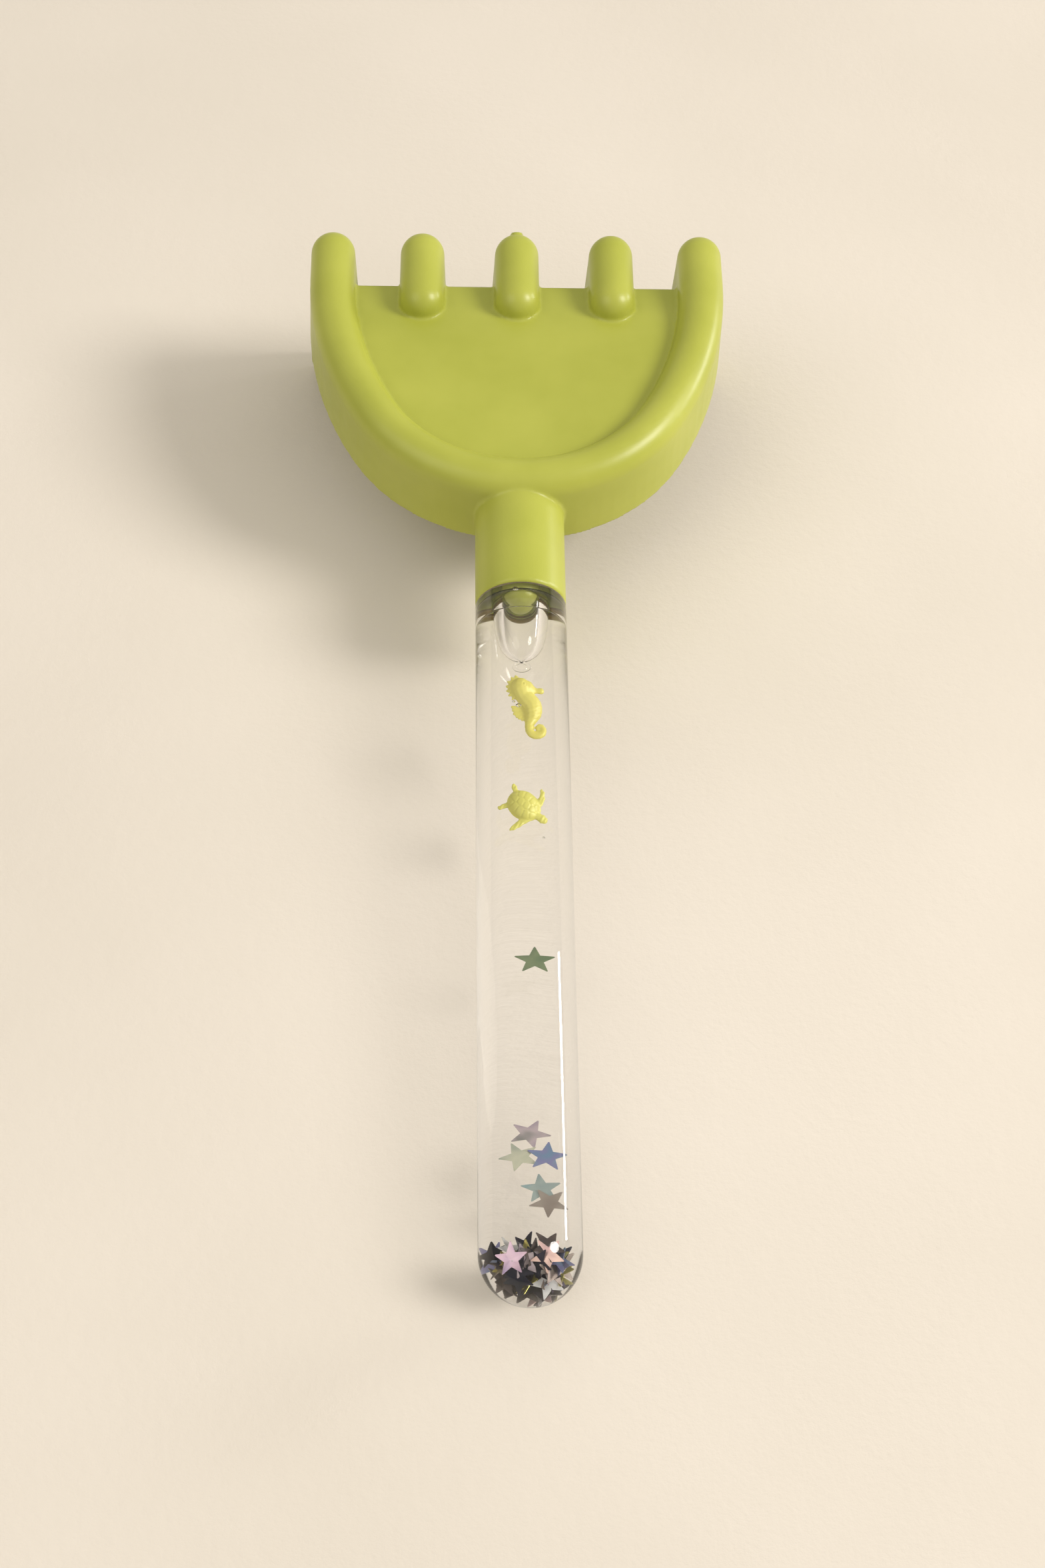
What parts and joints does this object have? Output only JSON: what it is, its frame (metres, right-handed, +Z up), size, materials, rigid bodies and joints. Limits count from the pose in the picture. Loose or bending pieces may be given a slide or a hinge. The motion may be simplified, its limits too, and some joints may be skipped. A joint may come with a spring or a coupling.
{
  "type": "sand rake",
  "caption": "Toy hand rake for sand: moulded head with short round tines on a clear liquid-filled tube handle in which small figures and foil stars drift.",
  "frame": {"origin": "centre of the bounding box's bottom face: the floor on which the tine tips and the round end of the handle rest", "axes": "+X across the head, +Y from the round end of the handle towards the tines, +Z up. The handle's axis leans up towards the head by 5.60 degrees"},
  "size_m": [0.0996, 0.2634, 0.0463],
  "materials": {
    "head": "satin moulded",
    "tube": "clear, polished",
    "stopper": "clear, polished",
    "seahorse": "satin",
    "turtle": "satin",
    "star_1": "iridescent foil",
    "star_2": "iridescent foil",
    "star_3": "iridescent foil",
    "star_4": "iridescent foil",
    "star_5": "iridescent foil",
    "star_6": "iridescent foil",
    "heap": "iridescent foil in mixed colours"
  },
  "bodies": {
    "rake": {"rake_head": "head", "handle_tube": "tube", "stopper": "stopper"},
    "seahorse": {"seahorse": "seahorse"},
    "turtle": {"turtle": "turtle"},
    "star_1": {"star_1": "star_1"},
    "star_2": {"star_2": "star_2"},
    "star_3": {"star_3": "star_3"},
    "star_4": {"star_4": "star_4"},
    "star_5": {"star_5": "star_5"},
    "star_6": {"star_6": "star_6"},
    "star_heap": {"star_heap": "heap"}
  },
  "joints": [
    {"name": "seahorse_drift", "type": "slide", "parent": "rake", "child": "seahorse", "axis": [0, -0.9952, -0.0976], "range_m": [0, 0.105]},
    {"name": "turtle_drift", "type": "slide", "parent": "rake", "child": "turtle", "axis": [0, -0.9952, -0.0976], "range_m": [-0.026, 0.085]},
    {"name": "star_1_drift", "type": "slide", "parent": "rake", "child": "star_1", "axis": [0, -0.9952, -0.0976], "range_m": [-0.065, 0.0521]},
    {"name": "star_2_drift", "type": "slide", "parent": "rake", "child": "star_2", "axis": [0, -0.9952, -0.0976], "range_m": [-0.1025, 0.0146]},
    {"name": "star_3_drift", "type": "slide", "parent": "rake", "child": "star_3", "axis": [0, -0.9952, -0.0976], "range_m": [-0.1073, 0.0098]},
    {"name": "star_4_drift", "type": "slide", "parent": "rake", "child": "star_4", "axis": [0, -0.9952, -0.0976], "range_m": [-0.1073, 0.0098]},
    {"name": "star_5_drift", "type": "slide", "parent": "rake", "child": "star_5", "axis": [0, -0.9952, -0.0976], "range_m": [-0.114, 0.0031]},
    {"name": "star_6_drift", "type": "slide", "parent": "rake", "child": "star_6", "axis": [0, -0.9952, -0.0976], "range_m": [-0.1168, 0.0003]},
    {"name": "heap_drift", "type": "slide", "parent": "rake", "child": "star_heap", "axis": [0, -0.9952, -0.0976], "range_m": [-0.003, 0]}
  ]
}
